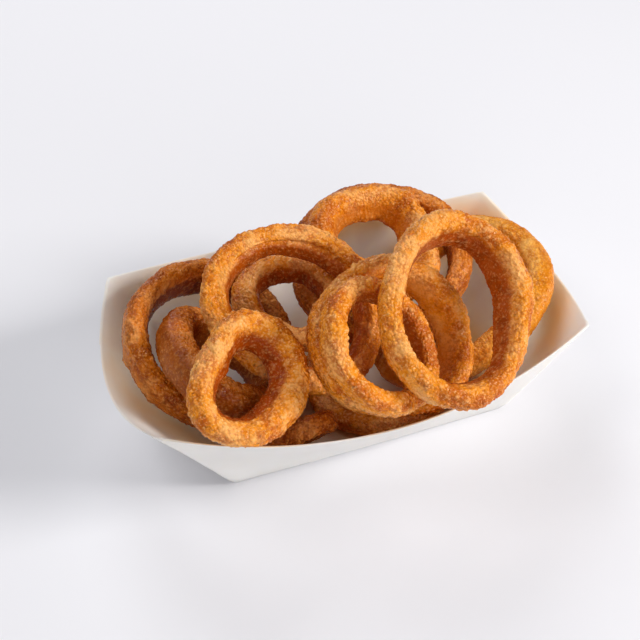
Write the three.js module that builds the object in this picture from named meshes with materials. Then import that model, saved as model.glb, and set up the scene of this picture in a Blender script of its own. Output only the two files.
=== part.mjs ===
// A side of battered onion rings in a folded paperboard food tray.
// Millimetres, +Z up. The origin is on the table under the middle of the tray, X runs along its length.
import * as THREE from "three";

const TAU = 2 * Math.PI;
const radians = THREE.MathUtils.degToRad;

// The tray is one blank of board: a flat base and four walls that lean out, highest at the corners.
// Reaches are measured from the origin to the outside of the board.
const tray = {
  board: 0.8,
  base: { halfLength: 63.5, halfWidth: 39.5 },
  rimCorner: { halfLength: 93.5, halfWidth: 52, height: 54 },
  endMiddle: { reach: 107.5, height: 39 },
  sideMiddle: { reach: 68.5, height: 41.5 },
  stepsAlongSide: 16,
  stepsAlongEnd: 12,
  stepsUp: 3,
};

// Glued corner flaps double the end walls. Shares are of an end wall's length, from its corner.
const flap = { thickness: 0.6, backShare: 0.28, frontShare: 0.06, edge: 0.005 };

// Every ring is a rounded band swept round a circle that is a little out of true.
const sweep = { stepsRound: 38, stepsAcross: 12, squareness: 2.8, unevenThickness: 0.1 };

// Crags of batter: how coarse they are, and how far they stand out of the band.
const batter = { cragSize: 8, cragHeight: 0.6, fineSize: 4, fineHeight: 0.35 };

// Each ring's sizes are the radius of the middle of its band, the thickness of the band's wall and the
// height of the band. flare opens the band towards its face. oval and threeSided push the circle out of
// true by some millimetres, most at an angle. tallSide makes the band higher by some millimetres at an
// angle, on an unevenly cut slice. The face is turned from -Y towards +X and lifted from level. Angles
// are in degrees, and run anticlockwise from the ring's right when its face is seen.
const rings = [
  {
    name: "ring_left_end",
    radius: 38.2, wall: 11.6, height: 12.5, flare: 21,
    oval: [1, -59], threeSided: [1, 21], tallSide: [8, 95],
    turn: 48, lift: 55, centre: [-55.34, 12, 32.1],
  },
  {
    name: "ring_left_smooth",
    radius: 23.8, wall: 16, height: 18.5, flare: 10,
    oval: [1.5, 41], threeSided: [1, 35],
    turn: 90, lift: 54, centre: [-57.72, -10.54, 42.31],
  },
  {
    name: "ring_back_left",
    radius: 32.5, wall: 12.3, height: 15, flare: 29,
    oval: [2.5, -55], threeSided: [1, 36],
    turn: 9, lift: 58, centre: [-22.43, -3.57, 59.92],
    seam: { at: 120, depth: 3, width: 26, from: 40, to: 330 },
  },
  {
    name: "ring_nested",
    radius: 19.5, wall: 12, height: 15, flare: 19,
    oval: [1.5, -37], threeSided: [0.5, 50],
    turn: -13, lift: 75, centre: [-19, 12, 49],
  },
  {
    name: "ring_front_left",
    radius: 19.5, wall: 12, height: 18, flare: 41,
    oval: [3.5, 20], threeSided: [1, 58],
    turn: 31, lift: 56, centre: [-55.67, -40.76, 62.09],
  },
  {
    name: "ring_floor_left",
    radius: 15.5, wall: 10.5, height: 10.5, flare: 6,
    oval: [2, -56], threeSided: [1, -4],
    turn: 188, lift: 37, centre: [-37.3, -38.2, 19.8],
  },
  {
    name: "ring_tall",
    radius: 31.5, wall: 10.5, height: 16, flare: 16,
    oval: [2, -15], threeSided: [1, 48], tallSide: [4, -20],
    turn: 25, lift: 50, centre: [9.76, -31.63, 55.76],
  },
  {
    name: "ring_middle_front",
    radius: 24, wall: 10.5, height: 12, flare: 8,
    oval: [1, 54], threeSided: [0.5, 43],
    turn: 44, lift: 50, centre: [-1.24, -46.7, 68.68],
  },
  {
    name: "ring_floor_middle",
    radius: 34.5, wall: 12.5, height: 9.5, flare: 6,
    oval: [2.5, 42], threeSided: [1.5, -11],
    turn: -6, lift: 88, centre: [21.24, -1.3, 7.32],
  },
  {
    name: "ring_front_right",
    radius: 32.5, wall: 11, height: 15.5, flare: 22,
    oval: [5, 40], threeSided: [0.5, 36], tallSide: [3, 0],
    turn: 24, lift: 56, centre: [31.78, -44.96, 76.2],
    seam: { at: 60, depth: 2, width: 24, from: 150, to: 330 },
  },
  {
    name: "ring_right_end",
    radius: 38.5, wall: 13.5, height: 14.5, flare: 21,
    oval: [5, -59], threeSided: [2.5, 51],
    turn: -89, lift: 67, centre: [60, 3.5, 33],
  },
  {
    name: "ring_top",
    radius: 22, wall: 11, height: 19.5, flare: 37,
    oval: [2, -70], threeSided: [2.5, 26],
    turn: 19, lift: 65, centre: [28.3, 30.02, 56.88],
  },
  {
    name: "ring_back",
    radius: 37.5, wall: 11.5, height: 14, flare: 13,
    oval: [0, 45], threeSided: [1, 24], tallSide: [5, 0],
    turn: -34, lift: 71, centre: [29.5, 29, 44.5],
  },
];

// Repeatable value in 0..1 for a point of a whole-number lattice.
function latticeValue(i, j, k, seed) {
  const mixed = Math.sin(i * 127.1 + j * 311.7 + k * 74.7 + seed * 53.3) * 43758.5453;
  return mixed - Math.floor(mixed);
}

// Smooth noise in -1..1.
function noise(point, seed) {
  const cell = point.map(Math.floor);
  const ease = point.map((value, n) => THREE.MathUtils.smoothstep(value - cell[n], 0, 1));
  let sum = 0;
  for (const i of [0, 1])
    for (const j of [0, 1])
      for (const k of [0, 1]) {
        const weight = [i, j, k].reduce((all, far, n) => all * (far ? ease[n] : 1 - ease[n]), 1);
        sum += weight * latticeValue(cell[0] + i, cell[1] + j, cell[2] + k, seed);
      }
  return 2 * sum - 1;
}

// A closed surface from rows of points that run the same way round, with its two ends closed by fans.
function closedSurface(rows, firstPole, lastPole) {
  const columns = rows[0].length;
  const points = [firstPole, ...rows.flat(), lastPole];
  const at = (row, column) => 1 + row * columns + (column % columns);
  const faces = [];
  for (let column = 0; column < columns; column++) {
    faces.push(0, at(0, column + 1), at(0, column));
    for (let row = 0; row + 1 < rows.length; row++) {
      faces.push(at(row, column), at(row, column + 1), at(row + 1, column + 1));
      faces.push(at(row, column), at(row + 1, column + 1), at(row + 1, column));
    }
    faces.push(at(rows.length - 1, column), at(rows.length - 1, column + 1), points.length - 1);
  }
  return surface(points, faces);
}

function surface(points, faces) {
  const geometry = new THREE.BufferGeometry();
  geometry.setAttribute("position", new THREE.Float32BufferAttribute(points.flat(), 3));
  geometry.setIndex(faces);
  geometry.computeVertexNormals();
  return geometry;
}

// The tray's columns run anticlockwise round it, seen from above. Each says where the base and the rim
// are, and how far the board is doubled there.
function trayColumns() {
  const { base, rimCorner, endMiddle, sideMiddle, stepsAlongSide, stepsAlongEnd } = tray;
  const columns = [];
  const sidePlaces = evenPlaces(stepsAlongSide);
  const flapEnds = [
    { along: 1 - 2 * flap.backShare, into: flap.edge },
    { along: -1 + 2 * flap.frontShare, into: -flap.edge },
  ];
  const edges = flapEnds.flatMap(({ along, into }) => [along - into, along + into]);
  const endPlaces = [...evenPlaces(stepsAlongEnd), ...edges].sort((a, b) => a - b);
  const doubled = (along) => along > flapEnds[0].along || along < flapEnds[1].along;

  const addSide = (facing) => (along) => {
    const bow = 1 - along * along;
    columns.push({
      base: [facing * -along * base.halfLength, facing * base.halfWidth],
      rim: [
        facing * -along * rimCorner.halfLength,
        facing * mix(rimCorner.halfWidth, sideMiddle.reach, bow),
      ],
      height: mix(rimCorner.height, sideMiddle.height, bow),
      outward: [0, facing],
      flap: 0,
    });
  };
  const addEnd = (facing) => (along) => {
    const bow = 1 - along * along;
    columns.push({
      base: [facing * base.halfLength, along * base.halfWidth],
      rim: [facing * mix(rimCorner.halfLength, endMiddle.reach, bow), along * rimCorner.halfWidth],
      height: mix(rimCorner.height, endMiddle.height, bow),
      outward: [facing, 0],
      flap: doubled(along) ? flap.thickness : 0,
    });
  };
  sidePlaces.slice(1, -1).forEach(addSide(-1));
  endPlaces.forEach(addEnd(1));
  sidePlaces.slice(1, -1).forEach(addSide(1));
  [...endPlaces].reverse().forEach(addEnd(-1));
  return columns;
}

const mix = THREE.MathUtils.lerp;

function evenPlaces(steps) {
  return Array.from({ length: steps + 1 }, (_, step) => -1 + (2 * step) / steps);
}

// A point on a column of the tray's wall at a height, moved outward from the line base to rim.
function wallPoint(column, z, outBy) {
  const up = z / column.height;
  const along = (axis) => mix(column.base[axis], column.rim[axis], up) + column.outward[axis] * outBy;
  return [along(0), along(1), z];
}

function trayGeometry() {
  const columns = trayColumns();
  const heights = (column, from) =>
    Array.from({ length: tray.stepsUp + 1 }, (_, step) => mix(from, column.height, step / tray.stepsUp));
  const outerRows = [];
  const innerRows = [];
  for (let step = 0; step <= tray.stepsUp; step++) {
    outerRows.push(columns.map((column) => wallPoint(column, heights(column, 0)[step], column.flap)));
    innerRows.push(columns.map((column) => innerWallPoint(column, heights(column, tray.board)[step])));
  }
  return closedSurface([...outerRows, ...innerRows.reverse()], [0, 0, 0], [0, 0, tray.board]);
}

// The inside of the wall is one board's thickness in, square to the leaning wall, on both axes at a corner.
function innerWallPoint(column, z) {
  const outside = wallPoint(column, z, 0);
  const lean = (axis) => (Math.abs(column.rim[axis]) - Math.abs(column.base[axis])) / column.height;
  const inset = (axis) => tray.board * Math.hypot(1, lean(axis));
  const { halfLength, halfWidth } = tray.rimCorner;
  const atCorner = Math.abs(column.rim[0]) === halfLength && Math.abs(column.rim[1]) === halfWidth;
  return outside.map((value, axis) => {
    const inward = axis < 2 && (atCorner || column.outward[axis] !== 0);
    return inward ? value - Math.sign(value) * inset(axis) : value;
  });
}

// The distance from a ring's centre to the middle of its band, at an angle round it.
function middleRadius(ring, angle) {
  const { radius, oval = [0, 0], threeSided = [0, 0] } = ring;
  const ovalPush = oval[0] * Math.cos(2 * (angle - radians(oval[1])));
  const threeSidedPush = threeSided[0] * Math.cos(3 * (angle - radians(threeSided[1])));
  return radius + ovalPush + threeSidedPush;
}

// The height of a ring's band at an angle round it, for slices that are cut unevenly.
function bandHeight(ring, angle) {
  const [extra, at] = ring.tallSide ?? [0, 0];
  return ring.height + (extra * (1 + Math.cos(angle - radians(at)))) / 2;
}

// How far the batter stands out at a point of a ring.
function cragHeight(point, seed) {
  const coarse = noise(point.map((v) => v / batter.cragSize), seed) * batter.cragHeight;
  return coarse + noise(point.map((v) => v / batter.fineSize), seed + 1) * batter.fineHeight;
}

// How deep the seam where two layers of batter meet is pressed into the band there.
function seamDepth(ring, angle, across) {
  if (!ring.seam) return 0;
  const { at, depth, width, from, to } = ring.seam;
  const off = Math.abs(THREE.MathUtils.euclideanModulo(across - radians(at) + Math.PI, TAU) - Math.PI);
  const round = THREE.MathUtils.euclideanModulo(angle - radians(from), TAU) / radians(to - from);
  const fade = round < 1 ? Math.sin(Math.PI * round) ** 0.5 : 0;
  return depth * fade * Math.exp(-((off / radians(width)) ** 2));
}

function ringGeometry(ring, seed) {
  const { stepsRound, stepsAcross, squareness, unevenThickness } = sweep;
  const rounded = (value) => Math.sign(value) * Math.abs(value) ** (2 / squareness);
  const flare = radians(ring.flare);
  const points = [];
  for (let step = 0; step < stepsRound; step++) {
    const angle = (step / stepsRound) * TAU;
    const thicker = 1 + unevenThickness * noise([2 * Math.cos(angle), 2 * Math.sin(angle), 0], seed);
    for (let side = 0; side < stepsAcross; side++) {
      const across = (side / stepsAcross) * TAU;
      const wallX = (rounded(Math.cos(across)) * ring.wall * thicker) / 2;
      const wallZ = (rounded(Math.sin(across)) * bandHeight(ring, angle) * thicker) / 2;
      const spot = [angle * ring.radius, wallX, wallZ];
      const out = cragHeight(spot, seed) - seamDepth(ring, angle, across);
      const x = wallX + Math.cos(across) * out;
      const z = wallZ + Math.sin(across) * out;
      const reach = middleRadius(ring, angle) + x * Math.cos(flare) + z * Math.sin(flare);
      const height = z * Math.cos(flare) - x * Math.sin(flare);
      points.push([reach * Math.cos(angle), reach * Math.sin(angle), height]);
    }
  }
  const at = (step, side) => (step % stepsRound) * stepsAcross + (side % stepsAcross);
  const faces = [];
  for (let step = 0; step < stepsRound; step++)
    for (let side = 0; side < stepsAcross; side++) {
      faces.push(at(step, side), at(step + 1, side), at(step + 1, side + 1));
      faces.push(at(step, side), at(step + 1, side + 1), at(step, side + 1));
    }
  return surface(points, faces);
}

function ringMesh(ring, index) {
  const material = new THREE.MeshStandardMaterial({ color: 0xd08a3a, roughness: 0.55, metalness: 0 });
  const mesh = new THREE.Mesh(ringGeometry(ring, index), material);
  mesh.name = ring.name;
  mesh.position.set(...ring.centre);
  mesh.rotation.set(radians(90 - ring.lift), 0, radians(ring.turn), "ZYX");
  return mesh;
}

function trayMesh() {
  const material = new THREE.MeshStandardMaterial({ color: 0xf3f1ee, roughness: 0.75, metalness: 0 });
  const mesh = new THREE.Mesh(trayGeometry(), material);
  mesh.name = "tray";
  return mesh;
}

const onionRings = new THREE.Group();
onionRings.add(trayMesh(), ...rings.map(ringMesh));

export default onionRings;
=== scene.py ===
import math

import bmesh
import bpy
import numpy as np
from mathutils import Matrix, Vector
from mathutils.kdtree import KDTree


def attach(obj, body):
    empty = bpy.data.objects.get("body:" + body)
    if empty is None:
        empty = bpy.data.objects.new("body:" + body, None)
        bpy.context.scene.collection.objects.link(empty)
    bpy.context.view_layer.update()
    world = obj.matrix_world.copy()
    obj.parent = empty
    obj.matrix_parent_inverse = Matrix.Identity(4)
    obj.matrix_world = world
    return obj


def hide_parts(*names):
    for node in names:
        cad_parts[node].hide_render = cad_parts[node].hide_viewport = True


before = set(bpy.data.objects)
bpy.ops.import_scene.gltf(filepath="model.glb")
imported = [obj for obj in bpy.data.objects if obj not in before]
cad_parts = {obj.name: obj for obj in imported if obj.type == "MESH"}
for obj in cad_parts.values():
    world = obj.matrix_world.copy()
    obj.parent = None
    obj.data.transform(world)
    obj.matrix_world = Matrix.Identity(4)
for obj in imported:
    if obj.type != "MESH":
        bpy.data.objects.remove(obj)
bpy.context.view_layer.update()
mm = 0.001


def linear(hexColour):
    channels = [int(hexColour[i : i + 2], 16) / 255 for i in (1, 3, 5)]
    return [c / 12.92 if c <= 0.04045 else ((c + 0.055) / 1.055) ** 2.4 for c in channels] + [1]


def addNode(tree, kind, settings=None, **inputs):
    # A node with its settings, and each input given a value or a link. _6 is the input at place 6.
    node = tree.nodes.new(kind)
    for name, value in (settings or {}).items():
        setattr(node, name, value)
    for name, value in inputs.items():
        socket = node.inputs[int(name[1:])] if name[0] == "_" else node.inputs[name.replace("_", " ")]
        if isinstance(value, bpy.types.NodeSocket):
            tree.links.new(value, socket)
        else:
            socket.default_value = value
    return node


def newMaterial(name):
    material = bpy.data.materials.new(name)
    material.use_nodes = True
    tree = material.node_tree
    tree.nodes.clear()
    shader = addNode(tree, "ShaderNodeBsdfPrincipled")
    output = addNode(tree, "ShaderNodeOutputMaterial")
    tree.links.new(shader.outputs[0], output.inputs["Surface"])
    return material, tree, shader


def smoothBetween(value, low, high):
    share = np.clip((value - low) / (high - low), 0, 1)
    return share * share * (3 - 2 * share)


def latticeValue(cells, seed):
    # Repeatable values in 0..1 for points of a whole-number lattice.
    i, j, k = (cells[..., axis].astype(np.int64) for axis in range(3))
    mixed = (i * 73856093) ^ (j * 19349663) ^ (k * 83492791) ^ (seed * 2654435761)
    mixed = ((mixed ^ (mixed >> 13)) * 1274126177) & 0xFFFFFFFF
    mixed = ((mixed ^ (mixed >> 16)) * 2246822519) & 0xFFFFFFFF
    return (mixed ^ (mixed >> 15)) / 0xFFFFFFFF


def smoothNoise(points, size, seed):
    # Noise in -1..1 whose bumps are about the given size apart.
    cell = np.floor(points / size)
    part = points / size - cell
    ease = part * part * (3 - 2 * part)
    total = np.zeros(len(points))
    for corner in np.ndindex(2, 2, 2):
        corner = np.array(corner)
        weight = np.prod(np.where(corner == 1, ease, 1 - ease), axis=1)
        total += weight * latticeValue(cell + corner, seed)
    return 2 * total - 1


def layeredNoise(points, size, layers, seed):
    total = sum(smoothNoise(points, size / 2**n, seed + n) / 2**n for n in range(layers))
    return total / sum(1 / 2**n for n in range(layers))


def crumbs(points, size, seed):
    # Round lumps in 0..1, one for each cell of a lattice, each at its own place in its cell.
    leastReach = 0.35
    moreReach = 0.4
    cell = np.floor(points / size)
    best = np.zeros(len(points))
    for near in np.ndindex(3, 3, 3):
        other = cell + np.array(near) - 1
        place = np.stack([latticeValue(other, seed + axis) for axis in range(3)], axis=1)
        reach = leastReach + moreReach * latticeValue(other, seed + 7)
        away = np.linalg.norm(points / size - other - place, axis=1) / reach
        best = np.maximum(best, np.clip(1 - away * away, 0, 1))
    return best


# Batter: what every ring is covered in.
batter = {
    # The distance between bumps of each kind and how far they stand out.
    "lump": (7 * mm, 0.7 * mm),
    "largeCrumb": (3.6 * mm, 0.7 * mm),
    "smallCrumb": (1.6 * mm, 0.55 * mm),
    "subdivisions": 3,
    # The groove's depth, and how many degrees either side of its middle it has mostly died out.
    "grooveDepth": 1.6 * mm,
    "grooveWidth": 13,
    # Where the inner wall, the outer wall and the rims between them begin and are whole, by the cosine of
    # the angle round the band's section and, for the rims, the sine of twice that angle.
    "innerWall": (0.35, 0.85),
    "outerWall": (0.2, 0.8),
    "rims": (0.4, 1),
    # Share of the crust's relief left on smooth walls.
    "smoothRelief": 0.5,
    # The bare surface lies this far inside the solid, so that the crumbs on it end near the solid's own.
    "sink": 0.45 * mm,
    # How large the areas with and without large crumbs are, and the stretches of open and closed groove.
    "crumbArea": 9 * mm,
    "grooveStretch": 25 * mm,
    # The values of their noise between which the large crumbs and the groove come in.
    "crumbStart": (-0.4, 0.5),
    "grooveStart": (-0.6, 0.2),
    # How much of the relief that the material reads comes from each kind of bump, and what it starts from.
    "reliefShares": {"largeCrumb": 0.45, "smallCrumb": 0.55, "lump": 0.15},
    "reliefBase": 0.15,
    # Share of the amber and painted shade on the outer walls that are smooth.
    "outerAmberAndShade": 0.7,
    # What places the colours: the size of each noise and its detail.
    "noises": {"broad": (15 * mm, 3), "patch": (5 * mm, 5), "fleck": (2.2 * mm, 4), "grain": (1 * mm, 3)},
    # Crumbs too fine for the mesh: their size and height.
    "grainBump": (1.1 * mm, 0.45 * mm),
    "speckBump": (0.55 * mm, 0.13 * mm),
    "speckStrength": 0.6,
    # A thin film of oil: fairly glossy, and faint as mirrors go.
    "roughness": 0.24,
    "specular": 0.19,
    # Red light goes deepest into the batter.
    "subsurface": 0.08,
    "subsurfaceColours": (1, 0.4, 0.1),
    "subsurfaceDepth": 1.5 * mm,
}

# Each ring: the record's slot, its tint, how smooth its outer wall is and how deep its inner wall's amber and
# painted shade, set deeper where the inner wall lies in shade.
ringLooks = {
    "ring_left_end": {"slot": "crust_deep", "tint": "deep", "smoothOuter": 0.2, "amberAndShade": 1},
    # Darker tint than its slot: painted shade, as this ring lies in the shade of its neighbours.
    "ring_left_smooth": {"slot": "crust_golden", "tint": "deep", "smoothOuter": 0.85, "amberAndShade": 0.7},
    # Its groove runs all round the ring, at 120 degrees of the band's section.
    "ring_back_left": {
        "slot": "crust_deep",
        "tint": "golden",
        "smoothOuter": 0,
        "amberAndShade": 0.8,
        "groove": 120,
    },
    "ring_nested": {"slot": "crust_golden", "tint": "golden", "smoothOuter": 0, "amberAndShade": 0.9},
    "ring_front_left": {"slot": "crust_golden", "tint": "golden", "smoothOuter": 0, "amberAndShade": 1},
    "ring_floor_left": {"slot": "crust_deep", "tint": "deep", "smoothOuter": 0, "amberAndShade": 0.8},
    "ring_tall": {"slot": "crust_golden", "tint": "golden", "smoothOuter": 0, "amberAndShade": 0.1},
    "ring_middle_front": {"slot": "crust_golden", "tint": "golden", "smoothOuter": 0, "amberAndShade": 0.7},
    "ring_floor_middle": {"slot": "crust_deep", "tint": "golden", "smoothOuter": 0, "amberAndShade": 0.7},
    "ring_front_right": {"slot": "crust_golden", "tint": "golden", "smoothOuter": 0, "amberAndShade": 0.85},
    "ring_right_end": {"slot": "crust_light", "tint": "light", "smoothOuter": 0.7, "amberAndShade": 0.8},
    "ring_top": {"slot": "crust_golden", "tint": "golden", "smoothOuter": 0.3, "amberAndShade": 0.45},
    "ring_back": {"slot": "crust_deep", "tint": "deep", "smoothOuter": 0.3, "amberAndShade": 0.9},
}

# Golden, deeper and lighter fried batter. Their amber colour is also painted shade in the holes, and their
# toast colour painted shade in the hollows between crumbs.
tints = {
    "golden": {
        "base": "#F0921A",
        "light": "#FFC278",
        "toastAndShade": "#B24C04",
        "amberAndShade": "#A03800",
        "brown": "#521600",
    },
    "deep": {
        "base": "#D67410",
        "light": "#F4AA5C",
        "toastAndShade": "#8C3400",
        "amberAndShade": "#802A00",
        "brown": "#3E1000",
    },
    "light": {
        "base": "#EE981E",
        "light": "#FFC66C",
        "toastAndShade": "#C66606",
        "amberAndShade": "#DC7E08",
        "brown": "#7A2E00",
    },
}

# How the crust is coloured, one layer over another: the tint's colour, what places it, the two values
# between which it comes in, its most share, and the attribute that thins it out.
crustLayers = (
    ("light", "broad", 0.46, 0.64, 0.55, "crust"),
    ("toastAndShade", "broad", 0.48, 0.34, 0.7, "crust"),
    # Amber on the inner walls and smooth outer walls: partly the glazed batter's own colour, partly painted
    # shade in the holes.
    ("amberAndShade", "amberAndShade", 0, 1, 0.92, None),
    ("brown", "patch", 0.48, 0.64, 0.5, "amberAndShade"),
    # Painted highlight on the tops of crumbs and painted shade in the hollows between them, both read from
    # the relief.
    ("light", "relief", 0.45, 0.85, 0.45, "crust"),
    ("toastAndShade", "relief", 0.32, 0.05, 0.6, "crust"),
    ("toastAndShade", "patch", 0.44, 0.62, 0.6, "edge"),
    ("toastAndShade", "grain", 0.45, 0.32, 0.25, None),
    # Pale grains: partly pale crumbs of the batter, partly painted glints.
    ("light", "grain", 0.53, 0.66, 0.45, "crust"),
    ("brown", "fleck", 0.58, 0.68, 0.45, "edge"),
)


def batterMaterial(name, tint):
    # Crumbly fried crust, glazed by a thin film of oil, with painted shade in its holes and in the hollows
    # between crumbs, and painted highlights on the crumbs' tops and on some of its grains.
    material, tree, shader = newMaterial(name)
    place = addNode(tree, "ShaderNodeTexCoord").outputs["Object"]
    placers = {}
    for key, (size, detail) in batter["noises"].items():
        noise = addNode(tree, "ShaderNodeTexNoise", Vector=place, Scale=1 / size, Detail=detail)
        placers[key] = noise.outputs["Fac"]
    for key in ("crust", "amberAndShade", "relief", "edge"):
        placers[key] = addNode(tree, "ShaderNodeAttribute", {"attribute_name": key}).outputs["Fac"]

    colour = linear(tint["base"])
    for key, placer, low, high, most, thinner in crustLayers:
        share = addNode(
            tree,
            "ShaderNodeMapRange",
            {"interpolation_type": "SMOOTHSTEP"},
            Value=placers[placer],
            From_Min=low,
            From_Max=high,
            To_Max=most,
        ).outputs[0]
        if thinner:
            times = {"operation": "MULTIPLY"}
            share = addNode(tree, "ShaderNodeMath", times, _0=share, _1=placers[thinner]).outputs[0]
        blend = {"data_type": "RGBA"}
        colour = addNode(tree, "ShaderNodeMix", blend, _0=share, _6=colour, _7=linear(tint[key])).outputs[2]
    tree.links.new(colour, shader.inputs["Base Color"])

    size, height = batter["grainBump"]
    grains = addNode(tree, "ShaderNodeTexVoronoi", Vector=place, Scale=1 / size).outputs["Distance"]
    outward = {"invert": True}
    bump = addNode(tree, "ShaderNodeBump", outward, Height=grains, Strength=placers["crust"], Distance=height)
    size, height = batter["speckBump"]
    specks = addNode(tree, "ShaderNodeTexNoise", Vector=place, Scale=1 / size, Detail=2).outputs["Fac"]
    bump = addNode(
        tree,
        "ShaderNodeBump",
        Height=specks,
        Strength=batter["speckStrength"],
        Distance=height,
        Normal=bump.outputs[0],
    )
    tree.links.new(bump.outputs[0], shader.inputs["Normal"])
    shader.inputs["Roughness"].default_value = batter["roughness"]
    shader.inputs["Specular IOR Level"].default_value = batter["specular"]
    shader.inputs["Subsurface Weight"].default_value = batter["subsurface"]
    shader.inputs["Subsurface Radius"].default_value = batter["subsurfaceColours"]
    shader.inputs["Subsurface Scale"].default_value = batter["subsurfaceDepth"]
    return material


# Fried batter with a film of oil, in three tints.
batterMaterials = {name: batterMaterial("friedBatter_" + name, tint) for name, tint in tints.items()}


def mergedCopy(nodeName, pieceName):
    # The CAD node's own surface as a new closed mesh, with its triangles paired into quads.
    weldDistance = 0.002 * mm
    pairAngle = math.radians(60)
    mesh = bpy.data.meshes.new(pieceName)
    form = bmesh.new()
    form.from_mesh(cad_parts[nodeName].data)
    bmesh.ops.remove_doubles(form, verts=form.verts, dist=weldDistance)
    bmesh.ops.recalc_face_normals(form, faces=form.faces)
    bmesh.ops.join_triangles(
        form, faces=form.faces, angle_face_threshold=pairAngle, angle_shape_threshold=pairAngle
    )
    form.to_mesh(mesh)
    form.free()
    piece = bpy.data.objects.new(pieceName, mesh)
    bpy.context.scene.collection.objects.link(piece)
    return piece


def vertexVectors(mesh, kind):
    # Each vertex's place ("co") or normal ("normal").
    vectors = np.empty(len(mesh.vertices) * 3)
    mesh.vertices.foreach_get(kind, vectors)
    return vectors.reshape(-1, 3)


def applySubdivision(piece, levels):
    modifier = piece.modifiers.new("Subdivision", "SUBSURF")
    modifier.levels = levels
    modifier.render_levels = levels
    applied = bpy.data.meshes.new_from_object(piece.evaluated_get(bpy.context.evaluated_depsgraph_get()))
    piece.modifiers.clear()
    applied.name = piece.data.name
    piece.data = applied


def sectionAngle(points):
    # For each point of a ring, where it lies round the band's section: 0 outside, half a turn inside.
    centre = points.mean(axis=0)
    axes = np.linalg.eigh(np.cov((points - centre).T))[1]
    axle = axes[:, 0] * np.sign(axes[2, 0])
    sideways = axes[:, 1]
    forward = np.cross(axle, sideways)
    local = points - centre
    x, y, up = local @ sideways, local @ forward, local @ axle
    turn = np.arctan2(y, x)
    reach = np.hypot(x, y)
    # The band's middle line wanders, so it is found in short steps round the ring.
    steps = 48
    step = ((turn / math.tau + 0.5) * steps).astype(int) % steps
    count = np.maximum(np.bincount(step, minlength=steps), 1)
    middleReach = np.bincount(step, reach, steps) / count
    middleUp = np.bincount(step, up, steps) / count
    position = (turn / math.tau + 0.5) * steps - 0.5
    before = np.floor(position).astype(int)
    share = position - before

    def betweenSteps(values):
        return values[before % steps] * (1 - share) + values[(before + 1) % steps] * share

    return np.arctan2(up - betweenSteps(middleUp), reach - betweenSteps(middleReach))


def dressRing(nodeName, look, seed):
    piece = mergedCopy(nodeName, nodeName + "_batter")
    applySubdivision(piece, batter["subdivisions"])
    mesh = piece.data
    points, normals = vertexVectors(mesh, "co"), vertexVectors(mesh, "normal")
    across = sectionAngle(points)
    inner = smoothBetween(-np.cos(across), *batter["innerWall"])
    outer = smoothBetween(np.cos(across), *batter["outerWall"]) * look["smoothOuter"]
    crust = 1 - np.maximum(inner, outer) * (1 - batter["smoothRelief"])
    edge = smoothBetween(np.abs(np.sin(2 * across)), *batter["rims"]) * crust

    lump = layeredNoise(points, batter["lump"][0], 2, seed)
    where = smoothBetween(smoothNoise(points, batter["crumbArea"], seed + 30), *batter["crumbStart"])
    largeCrumb = crumbs(points, batter["largeCrumb"][0], seed + 40) * where
    smallCrumb = crumbs(points, batter["smallCrumb"][0], seed + 60)
    height = (
        lump * batter["lump"][1]
        + largeCrumb * batter["largeCrumb"][1]
        + smallCrumb * batter["smallCrumb"][1]
    )
    height = height * crust - batter["sink"]
    if "groove" in look:
        # Where two layers of batter meet.
        off = (across - math.radians(look["groove"]) + math.pi) % math.tau - math.pi
        along = smoothBetween(smoothNoise(points, batter["grooveStretch"], seed + 80), *batter["grooveStart"])
        height -= batter["grooveDepth"] * along * np.exp(-((off / math.radians(batter["grooveWidth"])) ** 2))
    moved = points + normals * height[:, None]
    mesh.vertices.foreach_set("co", moved.ravel())

    # What the material reads, each brought to 0..1. The relief places painted highlights on crumb tops and
    # painted shade in the hollows; the amber places painted shade in the holes.
    shares = batter["reliefShares"]
    relief = shares["largeCrumb"] * largeCrumb + shares["smallCrumb"] * smallCrumb + shares["lump"] * lump
    shown = {
        "crust": crust,
        "amberAndShade": inner * look["amberAndShade"] + outer * batter["outerAmberAndShade"],
        "relief": relief + batter["reliefBase"],
        "edge": edge,
    }
    for name, values in shown.items():
        layer = mesh.attributes.new(name, "FLOAT", "POINT")
        layer.data.foreach_set("value", np.clip(values, 0, 1).astype(np.float32))
    mesh.materials.clear()
    mesh.materials.append(batterMaterials[look["tint"]])
    mesh.shade_smooth()
    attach(piece, "root")
    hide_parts(nodeName)
    return piece


dressed = [dressRing(nodeName, look, 100 * index) for index, (nodeName, look) in enumerate(ringLooks.items())]
# Every 40th point is close enough to tell how far the board is from the nearest ring.
pointStride = 40
nearPoints = np.concatenate([vertexVectors(piece.data, "co")[::pointStride] for piece in dressed])
ringPoints = KDTree(len(nearPoints))
for index, point in enumerate(nearPoints):
    ringPoints.insert(point, index)
ringPoints.balance()
print("rings done")


# Tray: folded white paperboard.
board = {
    "colour": "#F4F2EE",
    "fibreTint": "#EAE6DF",
    "fibre": 0.9 * mm,
    "cloud": 22 * mm,
    "bump": 0.05 * mm,
    # Edges that turn by more than this many degrees are folds, and stay this crisp.
    "foldAngle": 24,
    "crease": 0.85,
    # Edges of the finished board that turn by more than this many degrees are shaded sharp.
    "sharpAngle": 35,
    # Painted warm bounce light and shade on the board near the rings, partly oil from them.
    "oilAndBounceTint": "#F6CC9A",
    "oilAndBounceReach": 9 * mm,
    # Only board that faces up takes the oil tint and painted bounce and shade: how far its normal points up
    # where that begins and is whole.
    "facingUp": (-0.05, 0.1),
    "fibreStrength": 0.35,
    "roughness": 0.62,
    "specular": 0.35,
    # Light comes through the thin board a little warmer.
    "subsurface": 0.4,
    "subsurfaceColours": (1, 0.85, 0.65),
    "subsurfaceDepth": 2.5 * mm,
    "subdivisions": 2,
}


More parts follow.
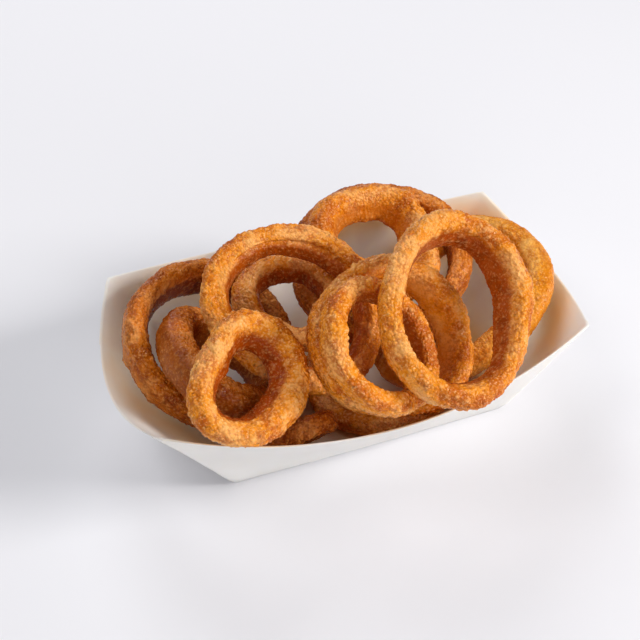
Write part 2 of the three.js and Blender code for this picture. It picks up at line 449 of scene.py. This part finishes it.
def boardMaterial():
    # Clay-coated white paperboard: matt, with a faint cloudiness and fine fibres, and near the rings a warm
    # tint that is painted bounce light and shade, partly oil.
    material, tree, shader = newMaterial("whitePaperboard")
    place = addNode(tree, "ShaderNodeTexCoord").outputs["Object"]
    cloud = addNode(tree, "ShaderNodeTexNoise", Vector=place, Scale=1 / board["cloud"], Detail=3)
    colour = addNode(
        tree,
        "ShaderNodeMix",
        {"data_type": "RGBA"},
        _0=cloud.outputs["Fac"],
        _6=linear(board["colour"]),
        _7=linear(board["fibreTint"]),
    )
    oilAndBounce = addNode(tree, "ShaderNodeAttribute", {"attribute_name": "oilAndBounce"}).outputs["Fac"]
    warmed = addNode(
        tree,
        "ShaderNodeMix",
        {"data_type": "RGBA"},
        _0=oilAndBounce,
        _6=colour.outputs[2],
        _7=linear(board["oilAndBounceTint"]),
    )
    tree.links.new(warmed.outputs[2], shader.inputs["Base Color"])
    fibres = addNode(tree, "ShaderNodeTexNoise", Vector=place, Scale=1 / board["fibre"], Detail=5)
    bump = addNode(
        tree,
        "ShaderNodeBump",
        Height=fibres.outputs["Fac"],
        Strength=board["fibreStrength"],
        Distance=board["bump"],
    )
    tree.links.new(bump.outputs[0], shader.inputs["Normal"])
    shader.inputs["Subsurface Weight"].default_value = board["subsurface"]
    shader.inputs["Subsurface Radius"].default_value = board["subsurfaceColours"]
    shader.inputs["Subsurface Scale"].default_value = board["subsurfaceDepth"]
    shader.inputs["Roughness"].default_value = board["roughness"]
    shader.inputs["Specular IOR Level"].default_value = board["specular"]
    return material


def dressTray():
    piece = mergedCopy("tray", "tray_board")
    form = bmesh.new()
    form.from_mesh(piece.data)
    crease = form.edges.layers.float.new("crease_edge")
    for edge in form.edges:
        folded = len(edge.link_faces) == 2 and edge.calc_face_angle(0) > math.radians(board["foldAngle"])
        edge[crease] = board["crease"] if folded else 0
    form.to_mesh(piece.data)
    form.free()
    applySubdivision(piece, board["subdivisions"])
    points, normals = vertexVectors(piece.data, "co"), vertexVectors(piece.data, "normal")
    # Painted warm bounce light and shade, partly oil: fading with distance from the nearest ring, on board
    # that faces up.
    away = np.array([ringPoints.find(point)[2] for point in points])
    inside = smoothBetween(normals[:, 2], *board["facingUp"])
    layer = piece.data.attributes.new("oilAndBounce", "FLOAT", "POINT")
    layer.data.foreach_set("value", (inside * np.exp(-((away / board["oilAndBounceReach"]) ** 2))).astype(np.float32))
    piece.data.materials.clear()
    piece.data.materials.append(boardMaterial())
    piece.data.shade_smooth()
    piece.data.set_sharp_from_angle(angle=math.radians(board["sharpAngle"]))
    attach(piece, "root")
    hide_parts("tray")


dressTray()
print("tray done")


# Floor, light and camera.
studio = {
    "floorColour": "#EDEDF2",
    "floorRoughness": 0.9,
    "floorRadius": 1.2,
    "floorEdges": 64,
    "fillColour": "#F5F4F8",
    "fillStrength": 0.17,
    "wallColour": "#EFEFF3",
    "wallStrength": 1,
    # Each lamp: its place and size in metres, watts and colour. All of them face the pile.
    "lamps": {
        "key": ((1.2, -0.66, 0.78), 0.6, 20.6, "#FFFDFA"),
        "front": ((-0.15, -1.2, 0.55), 0.9, 4.6, "#FFFFFF"),
        "back": ((0.05, 0.95, 0.8), 0.7, 5, "#FFFFFF"),
        "upperLeft": ((-0.7, 0.2, 1.1), 0.7, 4.3, "#FFFFFF"),
    },
    "lampAim": (0, 0, 0.03),
    # The camera's direction in degrees, what it looks at, how far off it stands and its lens.
    "azimuth": -19.1,
    "elevation": 42.6,
    "roll": -0.9,
    "target": (6.1 * mm, 47.0 * mm, 0),
    "distance": 564.9 * mm,
    "lens": 63.2,
    "sensor": 36,
}


def areaLight(name, place, size, power, colour):
    light = bpy.data.lights.new(name, "AREA")
    light.shape = "DISK"
    light.size = size
    light.energy = power
    light.color = linear(colour)[:3]
    lamp = bpy.data.objects.new(name, light)
    lamp.location = place
    lamp.rotation_euler = (Vector(studio["lampAim"]) - Vector(place)).to_track_quat("-Z", "Y").to_euler()
    bpy.context.scene.collection.objects.link(lamp)


def makeFloor():
    mesh = bpy.data.meshes.new("paleFloor")
    form = bmesh.new()
    edges = studio["floorEdges"]
    bmesh.ops.create_circle(form, cap_ends=True, segments=edges, radius=studio["floorRadius"])
    form.to_mesh(mesh)
    form.free()
    floor = bpy.data.objects.new("paleFloor", mesh)
    bpy.context.scene.collection.objects.link(floor)
    # Matt pale studio surface.
    material, _, shader = newMaterial("paleStudioFloor")
    shader.inputs["Base Color"].default_value = linear(studio["floorColour"])
    shader.inputs["Roughness"].default_value = studio["floorRoughness"]
    mesh.materials.append(material)


def makeWorld():
    # A dim fill on the object, and a pale wall behind the floor wherever the world itself is in view.
    world = bpy.data.worlds.new("softStudio")
    world.use_nodes = True
    tree = world.node_tree
    tree.nodes.clear()
    fillColour = linear(studio["fillColour"])
    fill = addNode(tree, "ShaderNodeBackground", Color=fillColour, Strength=studio["fillStrength"]).outputs[0]
    wallColour = linear(studio["wallColour"])
    wall = addNode(tree, "ShaderNodeBackground", Color=wallColour, Strength=studio["wallStrength"]).outputs[0]
    seen = addNode(tree, "ShaderNodeLightPath").outputs["Is Camera Ray"]
    both = addNode(tree, "ShaderNodeMixShader", _0=seen, _1=fill, _2=wall).outputs[0]
    addNode(tree, "ShaderNodeOutputWorld", Surface=both)
    bpy.context.scene.world = world


def makeCamera():
    # From above and a little to the left of the tray's front wall.
    azimuth, elevation, roll = (math.radians(studio[key]) for key in ("azimuth", "elevation", "roll"))
    place = Vector(studio["target"])
    back = Vector(
        (
            math.sin(azimuth) * math.cos(elevation),
            -math.cos(azimuth) * math.cos(elevation),
            math.sin(elevation),
        )
    )
    right = Vector((0, 0, 1)).cross(back).normalized()
    up = back.cross(right)
    turned = Matrix.Rotation(roll, 3, back)
    right, up = turned @ right, turned @ up
    data = bpy.data.cameras.new("pileView")
    data.sensor_width = studio["sensor"]
    data.lens = studio["lens"]
    camera = bpy.data.objects.new("pileView", data)
    place += back * studio["distance"]
    camera.matrix_world = Matrix.Translation(place) @ Matrix((right, up, back)).transposed().to_4x4()
    bpy.context.scene.collection.objects.link(camera)
    bpy.context.scene.camera = camera


makeFloor()
makeWorld()
for name, lamp in studio["lamps"].items():
    areaLight(name, *lamp)
makeCamera()
bpy.context.scene.view_settings.view_transform = "Standard"
print("stage done")
